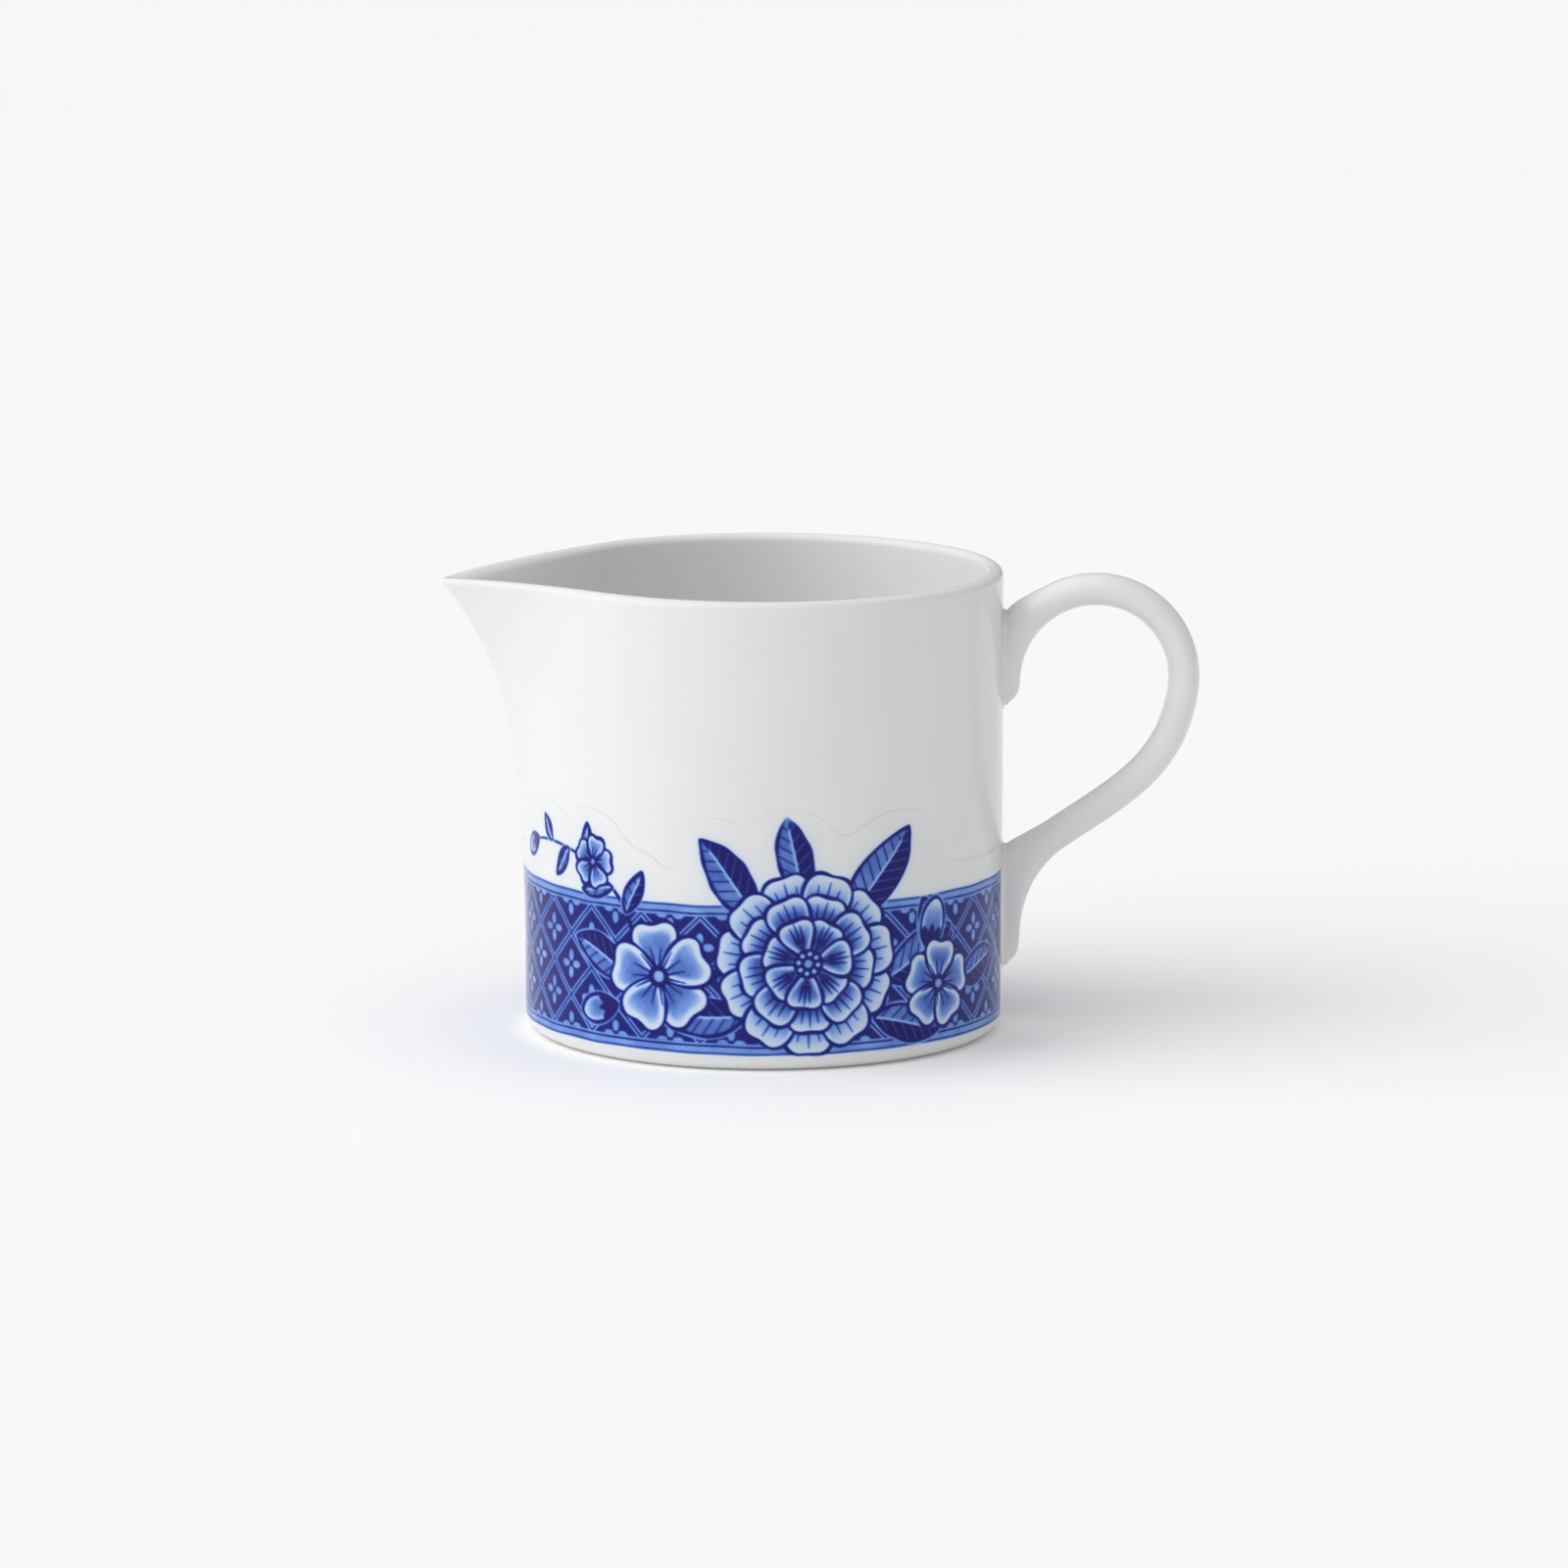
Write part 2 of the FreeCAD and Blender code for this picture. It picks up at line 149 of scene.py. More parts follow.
def columns():
    """Plan angles from the spout all the way round, closest together at the spout's nose."""
    fine = np.cumsum([0.25 + 1.25 * min(1, (i / 34) ** 1.5) for i in range(40)])
    half = np.concatenate([[0], fine])
    rest = np.linspace(half[-1], 180, int((180 - half[-1]) / 1.5) + 1)
    half = np.concatenate([half, rest[1:]])
    return np.radians(np.concatenate([-half[:0:-1][1:], half]))


def make_body(glaze, bisque):
    """The glazed body as one closed skin, from the recess out, over the rim and in to the floor."""
    theta = columns()
    top = crown_height(theta) - RIM_HALF_ROUND
    rings = []

    def flat(distance, z):
        rings.append(at(theta, np.full(len(theta), float(distance)), np.full(len(theta), float(z))))

    outer = RADIUS - BASE_ROUNDING
    inner = outer - FOOT_WIDTH
    centre_cap = 0.8
    recess_fillet, ring_fillet, ring_inset = 1.2, 0.5, 0.35
    recess = inner - FOOT_RECESS - 0.9
    for r in (centre_cap, 4, 9, 14, 19, 24, 28, recess):
        flat(r, FOOT_RECESS)
    for turn in (15, 30, 45):
        t = math.radians(turn)
        flat(recess + recess_fillet * math.sin(t), FOOT_RECESS - recess_fillet * (1 - math.cos(t)))
    for turn in (45, 30, 15, 0):
        t = math.radians(turn)
        flat(inner + ring_inset - ring_fillet * math.sin(t), ring_fillet * (1 - math.cos(t)))
    ring_start = len(rings) - 3
    for share in (0.25, 0.5, 0.75, 0.97):
        flat(inner + ring_inset + (FOOT_WIDTH - ring_inset) * share, 0)
    for turn in np.linspace(4, 90, 13):
        t = math.radians(turn)
        flat(outer + BASE_ROUNDING * math.sin(t), BASE_ROUNDING * (1 - math.cos(t)))
        if turn < 20:
            ring_end = len(rings) - 1
    for z in (5.5, 8.0, 10.5):
        flat(RADIUS, z)
    for t in np.linspace(0, 1, 44):
        z = SPOUT_START + (top - SPOUT_START) * (1 - (1 - t) ** 1.15)
        rings.append(at(theta, wall_distance(theta, z), z))
    for turn in np.linspace(0, math.pi, 15)[1:-1]:
        z = top + RIM_HALF_ROUND * math.sin(turn)
        share = (1 + math.cos(turn)) / 2
        d = share * wall_distance(theta, z) + (1 - share) * wall_distance(theta, z, True)
        rings.append(at(theta, d, z))
    low = FLOOR_TOP + FLOOR_ROUNDING
    for t in np.linspace(0, 1, 44):
        z = low + (top - low) * (1 - t)
        rings.append(at(theta, wall_distance(theta, z, True), z))
    for turn in np.linspace(0, 90, 12)[1:]:
        t = math.radians(turn)
        flat(RADIUS - WALL - FLOOR_ROUNDING * (1 - math.cos(t)), low - FLOOR_ROUNDING * math.sin(t))
    for r in (25, 20, 15, 10, 5, centre_cap):
        flat(r, FLOOR_TOP)
    body = piece("jug_body_glazed", *capped(rings), [glaze, bisque], "white_porcelain", ["jug_body"])
    index = np.zeros(len(body.data.polygons), np.int32)
    index[ring_start * len(theta):ring_end * len(theta)] = 1
    body.data.polygons.foreach_set("material_index", index)


# ---------------------------------------------------------------- handle
def turned(radius, degrees):
    """The offset of this length at this angle."""
    return np.array([radius * math.cos(math.radians(degrees)), radius * math.sin(math.radians(degrees))])


def eased(start, start_heading, end, end_heading, pull, steps):
    """Points on a cubic that leaves start and reaches end at these headings."""
    a, d = np.array(start, float), np.array(end, float)
    reach = pull * np.linalg.norm(d - a)
    b, c = a + turned(reach, start_heading), d - turned(reach, end_heading)
    t = np.linspace(0, 1, steps + 1)[:, None]
    return (1 - t) ** 3 * a + 3 * t * (1 - t) ** 2 * b + 3 * t**2 * (1 - t) * c + t**3 * d


def root_sides(root, leaving, top, tail, heading):
    """Upper and lower points from the wall out to the plain strap."""
    upper, lower = root[0] + root[1] / 2, root[0] - root[1] / 2
    foot, flank = RADIUS + SLIP_GAP + TAIL_LEDGE, (RADIUS + ROOT_TAIL, lower + TAIL_RISE)
    toe = eased((foot, lower), TAIL_SLANT, flank, 88, 0.42, 14)
    under = np.array([*toe, *eased(flank, 88, tail, heading, 0.38, 22)[1:]])
    over = eased((foot, upper), leaving, top, heading, 0.3, len(under) - 1)
    return over, under


def handle_sections():
    """(outer point, inner point, width) along the handle from the upper root to the lower."""
    middle = np.array([LOOP_X, LOOP_Z])
    outer = [middle + turned(LOOP_RADIUS + STRAP / 2, a) for a in np.linspace(LOOP_FROM, LOOP_TO, 64)]
    inner = [middle + turned(LOOP_RADIUS - STRAP / 2, a) for a in np.linspace(LOOP_FROM, LOOP_TO, 64)]
    line = eased(middle + turned(LOOP_RADIUS, LOOP_TO), LOOP_TO - 90, ENTRY, ENTRY_HEADING, 0.41, 48)
    along = np.gradient(line, axis=0)
    along /= np.linalg.norm(along, axis=1)[:, None]
    across = np.stack([-along[:, 1], along[:, 0]], 1) * STRAP / 2
    outer += list((line + across)[1:])
    inner += list((line - across)[1:])
    back = ENTRY_HEADING - 180
    top_out, top_in = root_sides(UPPER_ROOT, 52, outer[0], inner[0], LOOP_FROM - 90)
    low_out, low_in = root_sides(LOWER_ROOT, back, inner[-1], outer[-1], back)
    ease = np.linspace(0, 1, len(top_out))
    width = ROOT_WIDTH + (STRAP_WIDTH - ROOT_WIDTH) * (3 * ease**2 - 2 * ease**3)
    sections = list(zip(top_out[:-1], top_in[:-1], width[:-1]))
    sections += [(a, b, STRAP_WIDTH) for a, b in zip(outer, inner)]
    sections += list(zip(low_in[:-1], low_out[:-1], width[:-1]))[::-1]
    return sections


def oval(outer, inner, width, count=48):
    """Points of the strap's rounded section between two points of the plane y = 0."""
    a = np.linspace(0, 2 * math.pi, count, endpoint=False)
    c, s = np.cos(a), np.sin(a)
    up = np.sign(c) * np.abs(c) ** 0.88
    side = np.sign(s) * np.abs(s) ** 0.88
    mid, half = (outer + inner) / 2, (outer - inner) / 2
    return np.stack([mid[0] + half[0] * up, side * width / 2, mid[1] + half[1] * up], 1)


def draped(points, gap):
    """The points moved along X onto the round wall, gap outside it."""
    moved = points.copy()
    moved[:, 0] = np.sqrt((RADIUS + gap) ** 2 - points[:, 1] ** 2)
    return moved


def make_handle(glaze):
    """The strap from root to root, its ends laid against the slip."""
    rings = [oval(*s) for s in handle_sections()]
    rings = [draped(rings[0], SLIP_GAP), *rings, draped(rings[-1], SLIP_GAP)]
    piece("strap_handle", *capped(rings), [glaze], "white_porcelain", ["handle"])


def make_slip(name, node, root, glaze):
    """Sponged slip round a root: a hollow fillet from the wall to the strap."""
    high, low = root[0] + root[1] / 2, root[0] - root[1] / 2
    edge = oval(np.array([RADIUS, high]), np.array([RADIUS, low]), ROOT_WIDTH, 96)
    out = np.roll(edge, -1, 0) - np.roll(edge, 1, 0)
    out = np.stack([np.zeros(len(edge)), -out[:, 2], out[:, 1]], 1)
    out /= np.linalg.norm(out, axis=1)[:, None]
    if ((edge - edge.mean(0)) * out).sum() < 0:
        out = -out
    rings = [draped(edge - out * 0.5, 0.02)]
    for turn in np.linspace(0, math.pi / 2, 9):
        spread, rise = SLIP_FILLET * (1 - math.sin(turn)), SLIP_FILLET * (1 - math.cos(turn))
        rings.append(draped(edge + out * (spread - 0.02), rise + 0.01))
    rings.append(draped(edge - out * 0.5, SLIP_FILLET - 0.3))
    piece(name, *capped(rings), [glaze], "joining_slip", [node])


# ---------------------------------------------------------------- the printed decoration
TILE = math.pi * RADIUS                  # one side of the jug, and the far side is its mirror image
LOW, HIGH = 2.2, 41.5                    # lower and upper edge of the film
COLS, ROWS = 776, 254
S = (np.arange(COLS) + 0.5) * TILE / COLS - TILE / 2
Z = np.linspace(LOW, HIGH, ROWS)
ink = np.zeros((ROWS, COLS))             # how much cobalt there is, 0 to 1
LINE = 0.52                              # width of an outline
FAR = 1e9
WHITE, PALE, WASH, MID, ROYAL, DARK = 0.04, 0.17, 0.33, 0.52, 0.74, 0.93


def sways():
    """Slow unevenness of the hand, seamless round the tile."""
    rng = np.random.default_rng(7)
    x, z = np.meshgrid(S, Z)
    waves = 14
    amount, out = 0.06, []
    for _ in range(2):
        sway = np.zeros_like(x)
        for _ in range(waves):
            k, m = rng.integers(2, 14), rng.uniform(0.05, 0.6)
            sway += rng.normal() * np.sin(2 * math.pi * k * x / TILE + m * z + rng.uniform(0, 6.3))
        out.append(amount * sway / 3.7)
    return out


SWAY_X, SWAY_Z = sways()


class Patch:
    """The part of the print within reach of a place, painted in the place's own coordinates."""

    def __init__(self, x, z, reach):
        rows = np.flatnonzero(np.abs(Z - z) <= reach)
        from_x = (S - x + TILE / 2) % TILE - TILE / 2
        cols = np.flatnonzero(np.abs(from_x) <= reach)
        self.cells = np.ix_(rows, cols)
        self.x = x + from_x[cols][None, :] + SWAY_X[self.cells]
        self.z = Z[rows][:, None] + SWAY_Z[self.cells]

    def lay(self, cover, tone):
        """Paint a tone where cover is 1, over what is there."""
        ink[self.cells] = ink[self.cells] * (1 - cover) + tone * cover

    def inside(self, outline):
        """Signed distance to a closed outline, negative inside."""
        best = np.full(self.x.shape, FAR)
        within = np.zeros(self.x.shape, bool)
        for (ax, az), (bx, bz) in zip(outline, np.roll(outline, -1, 0)):
            best = np.minimum(best, self.apart(ax, az, bx, bz)[0])
            if az != bz:
                crosses = (az > self.z) != (bz > self.z)
                within ^= crosses & (self.x < (bx - ax) * (self.z - az) / (bz - az) + ax)
        return np.where(within, -best, best)

    def apart(self, ax, az, bx, bz):
        """Distance to a straight run, and how far along it the nearest point is."""
        dx, dz = bx - ax, bz - az
        t = ((self.x - ax) * dx + (self.z - az) * dz) / (dx * dx + dz * dz + 1e-12)
        t = np.clip(t, 0, 1)
        return np.hypot(self.x - ax - t * dx, self.z - az - t * dz), t

    def brush(self, points, start, end, tone):
        """A brush line through the points whose width goes from start to end."""
        points = np.asarray(points, float)
        runs = len(points) - 1
        edge = np.full(self.x.shape, FAR)
        for i in range(runs):
            d, t = self.apart(*points[i], *points[i + 1])
            t = (i + t) / runs
            edge = np.minimum(edge, d - (start + (end - start) * t) / 2)
        self.lay(soft(edge), tone)

    def shape(self, outline, tone, lined=True):
        """A filled outline, with a dark uneven line round it. Returns the distance inside its edge."""
        d = self.inside(outline)
        self.lay(soft(d), tone)
        if lined:
            uneven = 1 + 0.25 * np.sin(0.9 * self.x + 1.3 * self.z)
            self.lay(soft(np.abs(d) - LINE * uneven / 2), DARK)
        return -d

    def keyline(self, outline):
        """A thin pale margin round an outline where it crosses what is already printed."""
        self.lay(soft(self.inside(outline) - 0.6) * (ink[self.cells] > PALE), WASH)

    def dot(self, x, z, radius, tone):
        """A filled circle."""
        self.lay(soft(np.hypot(self.x - x, self.z - z) - radius), tone)


def soft(d, edge=0.2):
    """1 where d is below zero, 0 above, with a soft edge."""
    t = np.clip(0.5 - d / edge, 0, 1)
    return t * t * (3 - 2 * t)


def place(points, x, z, heading):
    """Points drawn along +X put at (x, z) and turned to the heading in degrees."""
    c, s = math.cos(math.radians(heading)), math.sin(math.radians(heading))
    return np.stack([x + points[:, 0] * c - points[:, 1] * s, z + points[:, 0] * s + points[:, 1] * c], 1)


def petal(length, width, widest, point, bend=0.0, notch=0.0, count=40):
    """Closed petal along +X from its base at the origin. widest says how far out it is widest, point how
    narrow its ends are, and notch how deep the dent in its tip is, as a share of the length."""
    t = (1 - np.cos(np.linspace(0, math.pi, count))) / 2
    power = math.log(0.5) / math.log(widest)
    half = width / 2 * (1 - (2 * t**power - 1) ** 2) ** (0.72 * point)
    dent = notch * length * np.exp(-(half / (0.22 * width)) ** 2) * (t > widest)
    along, mid = t * length - dent, bend * length * np.sin(math.pi * t / 2) ** 2
    upper, lower = np.stack([along, mid + half], 1), np.stack([along, mid - half], 1)
    return np.concatenate([upper, lower[::-1][1:-1]])


def washed(p, outline, base, wash, rim, heart=None):
    """A petal that is white along its edge and washed inside, darker towards its base."""
    inner = p.shape(outline, WHITE)
    span = np.hypot(*(outline - base).T).max()
    out = np.hypot(p.x - base[0], p.z - base[1]) / span
    p.lay(soft(rim - inner, 0.8) * soft(out - 0.84, 0.3), wash)
    p.lay(soft(rim + 0.4 - inner, 0.9) * soft(out - 0.66, 0.3), wash + 0.16)
    if heart:
        p.lay(soft(rim + 0.5 - inner, 0.9) * soft(out - 0.46, 0.22), heart)


def stroke(p, x, z, near, far, heading, width, tip):
    """Fine dark stroke that runs outwards from a centre and tapers."""
    a, b = turned(near, heading), turned(far, heading)
    p.brush([(x + a[0], z + a[1]), (x + b[0], z + b[1])], width, tip, DARK)


def bloom(x, z, size, turn):
    """Full round flower seen from the front: three rows of petals round a seeded eye."""
    p = Patch(x, z, size + 1)
    rows = ((11, 1.0, 0.54, 0.0, MID - 0.12), (9, 0.76, 0.48, 0.5, MID), (7, 0.5, 0.4, 0.2, MID - 0.12))
    for count, reach, width, start, wash in rows:
        outline = petal(reach * size, width * size, 0.76, 0.62, notch=0.035)
        for i in [*range(0, count, 2), *range(1, count, 2)]:
            heading = turn + 360 * (i + start) / count
            washed(p, place(outline, x, z, heading), (x, z), wash, 0.045 * size, DARK)
            for lean, length in ((-8, 0.84), (0, 0.9), (8, 0.84)):
                stroke(p, x, z, 0.5 * reach * size, length * reach * size, heading + lean, 0.5, 0.12)
    p.dot(x, z, 0.16 * size, DARK)
    for i in range(8):
        seed = turned(0.105 * size, turn + 45 * i)
        p.dot(x + seed[0], z + seed[1], 0.026 * size, PALE)
    p.dot(x, z, 0.045 * size, WASH)


def small_flower(x, z, size, turn):
    """Open flower with five notched petals and a fringe of stamens."""
    p = Patch(x, z, size + 1)
    outline = petal(size, 0.9 * size, 0.68, 0.62, notch=0.09)
    for i in (0, 2, 4, 1, 3):
        washed(p, place(outline, x, z, turn + 72 * i), (x, z), WASH, 0.13 * size)
    for i in range(15):
        stroke(p, x, z, 0.12 * size, 0.5 * size, turn + 12 + 24 * i, 0.42, 0.14)
    p.dot(x, z, 0.19 * size, DARK)
    p.dot(x, z, 0.1 * size, WASH)


def leaf(x, z, length, width, heading, bend=0.08):
    """Pointed leaf, dark on one side of its pale midrib and washed on the other, with fine side ribs."""
    p = Patch(*(np.array([x, z]) + turned(length / 2, heading)), length / 2 + width / 2 + 2)
    outline = place(petal(length, width, 0.46, 1.2, bend), x, z, heading)
    p.keyline(outline)
    inner = p.shape(outline, MID - 0.06)
    c, s = math.cos(math.radians(heading)), math.sin(math.radians(heading))
    along, side = (p.x - x) * c + (p.z - z) * s, -(p.x - x) * s + (p.z - z) * c
    side = side - bend * length * np.sin(math.pi * np.clip(along / length, 0, 1) / 2) ** 2
    within = soft(0.15 - inner)
    p.lay(within * soft(-side), DARK)
    spacing, half_rib = 1.9, 0.12
    ribs = soft(np.abs(((along - 0.8 * np.abs(side)) / spacing) % 1 - 0.5) * spacing - half_rib)
    p.lay(within * ribs * soft(-side), MID)
    p.lay(within * ribs * soft(side), DARK)
    p.lay(within * soft(np.abs(side) - 0.2) * soft(along - 0.86 * length, 1.0), PALE)


def bud(x, z, length, width, heading):
    """Closed bud standing in a dark cup."""
    p = Patch(*(np.array([x, z]) + turned(length / 2, heading)), length / 2 + 2)
    outline = place(petal(length, width, 0.55, 0.85), x, z, heading)
    p.keyline(outline)
    washed(p, outline, np.array([x, z]), WASH, 0.5)
    for lean in (-26, 0, 26):
        p.shape(place(petal(0.5 * length, 0.3 * width, 0.5, 1.1), x, z, heading + lean), DARK, False)


def spray(x, z):
    """Thin stem that arches over the border, with leaves in turn on each side, buds and small flowers."""
    reach, rise = 25.0, 15.5
    p = Patch(x + reach / 2, z + rise / 2, reach)
    stem = eased((x, z), 82, (x + reach, z + rise), -8, 0.42, 14)
    p.brush(stem, 0.75, 0.32, DARK)
    for step, lean, size in ((3, 48, 7.0), (5, -46, 6.2), (8, 62, 5.8), (10, -58, 5.6), (12, 50, 4.6)):
        ahead = stem[step + 1] - stem[step - 1]
        heading = math.degrees(math.atan2(ahead[1], ahead[0])) + lean
        leaf(*stem[step], size, 0.42 * size, heading, 0.12 * math.copysign(1, lean))
    bud(*stem[-1], 5.4, 3.2, -28)
    small_flower(*(stem[7] + [0.4, 1.0]), 4.3, 30)


def oval_edge(u, v, ru, rv):
    """Signed distance, nearly, to an upright ellipse round the origin."""
    return (np.hypot(u / ru, v / rv) - 1) * min(ru, rv)


def trellis():
    """Lattice of small diamonds with a four-petalled flower in each, between double lines."""
    pitch, row, low, high = TILE / 12, 10.0, 4.6, 24.6
    p = Patch(0.0, 0.0, TILE)
    a, b = p.x / pitch + (p.z - low) / row, p.x / pitch - (p.z - low) / row
    off_line = np.minimum(np.abs((a + 0.5) % 1 - 0.5), np.abs((b + 0.5) % 1 - 0.5))
    off_line = off_line / math.hypot(1 / pitch, 1 / row)
    across, up = np.abs(a % 1 + b % 1 - 1) * pitch / 2, np.abs(a % 1 - b % 1) * row / 2
    petals = np.minimum(oval_edge(across - 1.35, up, 0.95, 0.62), oval_edge(across, up - 1.35, 0.62, 0.95))
    inside = soft(np.abs(p.z - (low + high) / 2) - (high - low) / 2)
    p.lay(inside, 0.87)
    p.lay(inside * soft(off_line - 0.5), WASH)
    p.lay(inside * soft(off_line - 0.13), DARK)
    p.lay(inside * soft(petals), WASH)
    p.lay(inside * soft(np.hypot(across, up) - 0.42), DARK)
    for edge, sign in ((low, -1), (high, 1)):
        band = sign * (p.z - edge)
        for start, end, tone in (
                (0.0, 0.35, WASH), (0.35, 0.65, DARK), (0.65, 1.45, WASH), (1.45, 1.8, ROYAL)):
            p.lay(soft(start - band) * soft(band - end), tone)


def bouquet():
    """One side's flowers laid over the border: leaves first, then buds and flowers."""
    for x, z, length, width, heading, bend in (
            (-14, 24, 17, 7.2, 121, 0.1), (-6, 28, 12.5, 5.4, 84, -0.08), (-20, 14, 15, 6.6, 158, -0.1),
            (1, 25, 14.5, 6.2, 47, 0.1), (3, 9, 14, 6.0, -9, 0.1), (-18, 8, 13, 5.6, 188, 0.1),
            (22, 15, 12, 5.4, 14, 0.12), (-36, 12, 11, 5.0, 172, -0.12), (-30, 17, 9.5, 4.4, 66, 0.1)):
        leaf(x, z, length, width, heading, bend)
    spray(20.5, 17.5)
    bud(-28.5, 17.5, 8.4, 5.0, 100)
    bud(24.5, 9.5, 7.6, 4.4, -16)
    small_flower(-30.5, 12.0, 7.4, 24)
    small_flower(16.8, 14.6, 9.2, 82)
    bloom(-7.0, 17.2, 14.8, 8)


def blurred(field, size):
    """The field averaged over about size millimetres, seamless round the tile."""
    width = max(1, int(round(size / (TILE / COLS))))
    window = 2 * width + 1
    out = field
    for _ in range(3):
        wrapped = np.concatenate([out[:, -width:], out, out[:, :width]], 1).cumsum(1)
        before = np.concatenate([np.zeros((ROWS, 1)), wrapped[:, :-window]], 1)
        out = (wrapped[:, 2 * width:] - before) / window
        padded = np.concatenate([out[:1].repeat(width, 0), out, out[-1:].repeat(width, 0)]).cumsum(0)
        padded = np.concatenate([np.zeros((1, COLS)), padded])
        out = (padded[window:] - padded[:-window]) / window
    return out


def painted():
    """One whole side: border, flowers, the cobalt's cloudiness and its bleed into the glaze."""
    trellis()
    bouquet()
    rng = np.random.default_rng(11)
    cloud = blurred(rng.normal(size=ink.shape), 0.9)
    fine = blurred(rng.normal(size=ink.shape), 0.2)
    cloud, fine = cloud / cloud.std(), fine / fine.std()
    washes = np.exp(-((ink - 0.42) / 0.24) ** 2)
    tone = ink + washes * (0.028 * cloud + 0.012 * fine)
    tone = 0.72 * tone + 0.28 * blurred(tone, 0.16)
    halo = 0.075 * blurred(ink, 1.1) + 0.06 * blurred(ink, 2.6)
    tone = np.maximum(tone, 0) + halo * (1 - np.clip(tone * 3, 0, 1))
    edge = np.clip((Z - LOW) / 0.7, 0, 1) * np.clip((HIGH - Z) / 3.0, 0, 1)
    return np.clip(tone, 0, 1) * (edge * edge * (3 - 2 * edge))[:, None]


def film_panels(tone, glaze):
    """The two fired sheets, each a row of thin skins just proud of the wall that fit edge to edge."""
    spread = blurred(tone, 0.8)
    lift, bare, per_side = 0.045, 0.25, 5
    first = math.degrees((ROOT_WIDTH / 2 + SLIP_FILLET + bare) / RADIUS)
    for side, sign in (("front", -1), ("back", 1)):
        for k in range(per_side):
            a0 = first + (180 - first) * k / per_side
            a1 = first + (180 - first) * (k + 1) / per_side
            count = int(round(math.radians(a1 - a0) * RADIUS / (TILE / COLS))) + 1
            from_handle = np.radians(np.linspace(a0, a1, count))
            column = from_handle * RADIUS / TILE * COLS - 0.5
            low = np.floor(column).astype(int)
            share = column - low
            field = tone[:, low % COLS] * (1 - share) + tone[:, (low + 1) % COLS] * share
            theta, z = np.meshgrid(sign * (np.pi - from_handle), Z)
            co = at(theta, outside_distance(theta, z) + lift, z).reshape(-1, 3)
            u, v = np.meshgrid(np.linspace(0.01, 0.99, count), np.linspace(0.01, 0.99, ROWS))
            uv = np.stack([u, v], -1).reshape(-1, 2)
            quads = rings_faces(ROWS, count, False)[:, ::-sign]
            printed = spread[:, low % COLS] > 0.003
            covered = np.maximum.accumulate(printed[::-1])[::-1]     # all the way up to the highest ink
            used, quads = np.unique(quads[covered.reshape(-1)[quads].any(1)], return_inverse=True)
            panel = piece(f"{side}_print_{k + 1}", co[used], quads.reshape(-1, 4), [glaze],
                          "cobalt_transfer", [f"{side}_transfer"], uv[used])
            layer = panel.data.attributes.new("cobalt", "FLOAT", "POINT")
            layer.data.foreach_set("value", field.reshape(-1)[used].astype(np.float32))


# ---------------------------------------------------------------- materials
PORCELAIN = (0.80, 0.802, 0.80)


class Nodes:
    """A new material and the nodes being put into it."""

    def __init__(self, name):
        self.material = bpy.data.materials.new(name)
        self.material.use_nodes = True
        self.tree = self.material.node_tree
        self.shader = self.tree.nodes["Principled BSDF"]

    def add(self, kind, **values):
        """A new node with these inputs or settings."""
        node = self.tree.nodes.new(kind)
        for key, value in values.items():
            if key in node.inputs.keys():
                node.inputs[key].default_value = value
            else:
                setattr(node, key, value)
        return node

    def link(self, out, into):
        self.tree.links.new(out, into)

    def ramp(self, fac, stops):
        """The colour that each value of fac stands for, through (place, colour) stops."""
        node = self.add("ShaderNodeValToRGB")
        elements = node.color_ramp.elements
        while len(elements) < len(stops):
            elements.new(0.5)
        for element, (where, colour) in zip(elements, stops):
            element.position = where
            element.color = (*colour, 1)
        self.link(fac, node.inputs["Fac"])
        return node.outputs["Color"]

    def noise(self, scale, detail=2.0, rough=0.5):
        """Noise fixed to the object."""
        coords = self.add("ShaderNodeTexCoord")
        noise = self.add("ShaderNodeTexNoise", Scale=scale, Detail=detail, Roughness=rough)
        self.link(coords.outputs["Object"], noise.inputs["Vector"])
        return noise.outputs["Fac"]


def glazed(name, cobalt=False):
    """White porcelain under a clear gloss glaze, over cobalt where there is any."""
    n = Nodes(name)
    shade = [c * 0.985 for c in PORCELAIN]
    base = n.ramp(n.noise(55, 3), [(0.35, shade), (0.65, PORCELAIN)])
    if cobalt:
        print_tone = n.add("ShaderNodeAttribute", attribute_name="cobalt")
        stain = n.ramp(print_tone.outputs["Fac"], [
            (0.0, (1, 1, 1)), (0.06, (0.83, 0.90, 1.0)), (0.17, (0.55, 0.71, 0.99)),
            (0.33, (0.21, 0.39, 0.90)), (0.52, (0.06, 0.14, 0.56)), (0.74, (0.018, 0.03, 0.30)),
            (0.9, (0.008, 0.006, 0.17)), (1.0, (0.01, 0.003, 0.11))])
        mix = n.add("ShaderNodeMix", data_type="RGBA", blend_type="MULTIPLY")
        mix.inputs["Factor"].default_value = 1.0
        n.link(base, mix.inputs["A"])
        n.link(stain, mix.inputs["B"])
        base = mix.outputs["Result"]
    n.link(base, n.shader.inputs["Base Color"])
    rough = n.ramp(n.noise(160, 2), [(0.3, (0.075,) * 3), (0.7, (0.11,) * 3)])
    n.link(rough, n.shader.inputs["Roughness"])
    bump = n.add("ShaderNodeBump", Strength=0.05, Distance=0.0002)
    n.link(n.noise(130, 1.5), bump.inputs["Height"])
    n.link(bump.outputs["Normal"], n.shader.inputs["Normal"])
    n.shader.inputs["IOR"].default_value = 1.5
    n.shader.inputs["Specular IOR Level"].default_value = 0.2
    return n.material


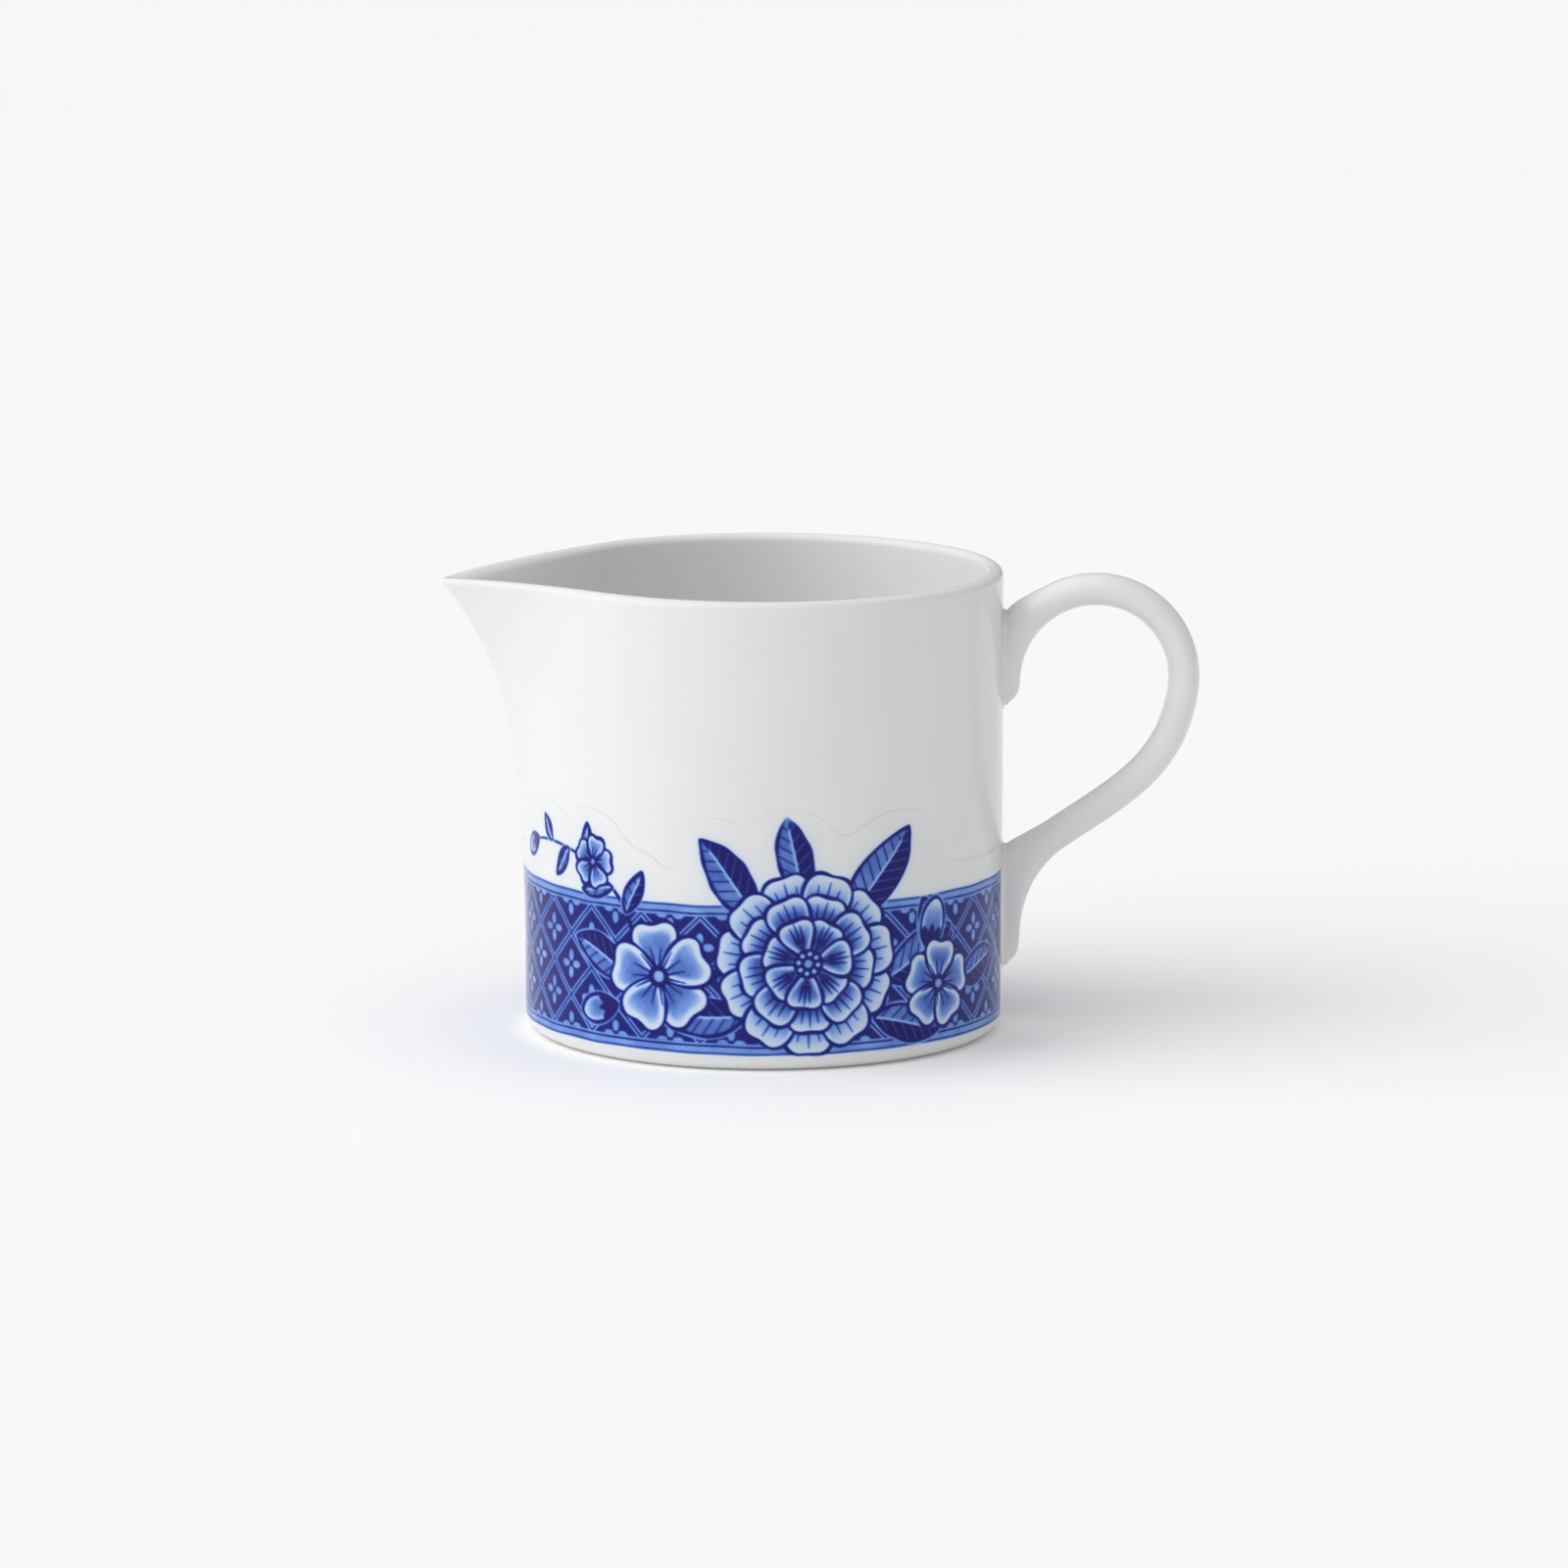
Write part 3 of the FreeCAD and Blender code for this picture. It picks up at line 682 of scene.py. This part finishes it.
def unglazed(name):
    """Fired porcelain with no glaze, slightly rough and warm, where the jug stands."""
    n = Nodes(name)
    base = n.ramp(n.noise(900, 4, 0.6), [(0.35, (0.74, 0.72, 0.68)), (0.65, (0.83, 0.815, 0.785))])
    n.link(base, n.shader.inputs["Base Color"])
    rough = n.ramp(n.noise(500, 2), [(0.3, (0.55,) * 3), (0.7, (0.7,) * 3)])
    n.link(rough, n.shader.inputs["Roughness"])
    bump = n.add("ShaderNodeBump", Strength=0.25, Distance=0.0001)
    n.link(n.noise(2500, 3), bump.inputs["Height"])
    n.link(bump.outputs["Normal"], n.shader.inputs["Normal"])
    return n.material


# ---------------------------------------------------------------- stage
def make_floor():
    """Pale flat floor, wide enough to fill the view."""
    half = 6
    n = Nodes("pale_paper")
    n.link(n.ramp(n.noise(3, 2), [(0.3, (0.945, 0.945, 0.945)), (0.7, (0.955, 0.955, 0.955))]),
           n.shader.inputs["Base Color"])
    n.shader.inputs["Roughness"].default_value = 0.9
    n.shader.inputs["Emission Color"].default_value = (1, 1, 1, 1)
    n.shader.inputs["Emission Strength"].default_value = 0.05
    mesh = bpy.data.meshes.new("floor")
    corners = [(-half, -half, 0), (half, -half, 0), (half, half, 0), (-half, half, 0)]
    mesh.from_pydata(corners, [], [(0, 1, 2, 3)])
    mesh.materials.append(n.material)
    floor = bpy.data.objects.new("floor", mesh)
    bpy.context.scene.collection.objects.link(floor)


def aim(thing, target):
    """Turn a lamp or camera to look at a place."""
    away = Vector(target) - thing.location
    thing.rotation_euler = away.to_track_quat("-Z", "Y").to_euler()


def studio():
    """Light from above that fades towards the horizon, and three broad soft lamps, strongest on the left."""
    world = bpy.data.worlds.new("studio")
    bpy.context.scene.world = world
    world.use_nodes = True
    tree = world.node_tree
    coords = tree.nodes.new("ShaderNodeTexCoord")
    split = tree.nodes.new("ShaderNodeSeparateXYZ")
    strength = tree.nodes.new("ShaderNodeMapRange")
    for name, value in (("From Min", 0), ("From Max", 1), ("To Min", 0.3), ("To Max", 0.75)):
        strength.inputs[name].default_value = value
    background = tree.nodes["Background"]
    background.inputs["Color"].default_value = (1, 1, 1, 1)
    tree.links.new(coords.outputs["Generated"], split.inputs[0])
    tree.links.new(split.outputs["Z"], strength.inputs["Value"])
    tree.links.new(strength.outputs["Result"], background.inputs["Strength"])
    for name, towards, energy in (
            ("left_lamp", (-1, -0.3, 0.6), 1.28),
            ("high_lamp", (-0.6, -0.3, 1.1), 0.4),
            ("front_lamp", (-0.5, -0.9, 0.9), 0.16)):
        data = bpy.data.lights.new(name, "SUN")
        data.energy = energy
        data.angle = math.radians(60)
        lamp = bpy.data.objects.new(name, data)
        lamp.location = towards
        aim(lamp, (0, 0, 0))
        bpy.context.scene.collection.objects.link(lamp)


def camera():
    """The studio camera, slightly above the jug and square to its side, metres."""
    distance = 1.4
    data = bpy.data.cameras.new("camera")
    data.sensor_width = 36
    data.lens = 202
    made = bpy.data.objects.new("camera", data)
    target = (0.0032, 0.0, 0.039)
    tilt = math.radians(10)
    made.location = (target[0], -distance * math.cos(tilt), target[2] + distance * math.sin(tilt))
    aim(made, target)
    bpy.context.scene.collection.objects.link(made)
    bpy.context.scene.camera = made


white = glazed("white_glaze")
make_body(white, unglazed("bare_porcelain"))
make_handle(white)
make_slip("upper_root_fillet", "upper_slip_joint", UPPER_ROOT, white)
make_slip("lower_root_fillet", "lower_slip_joint", LOWER_ROOT, white)
film_panels(painted(), glazed("cobalt_under_glaze", True))
make_floor()
studio()
camera()
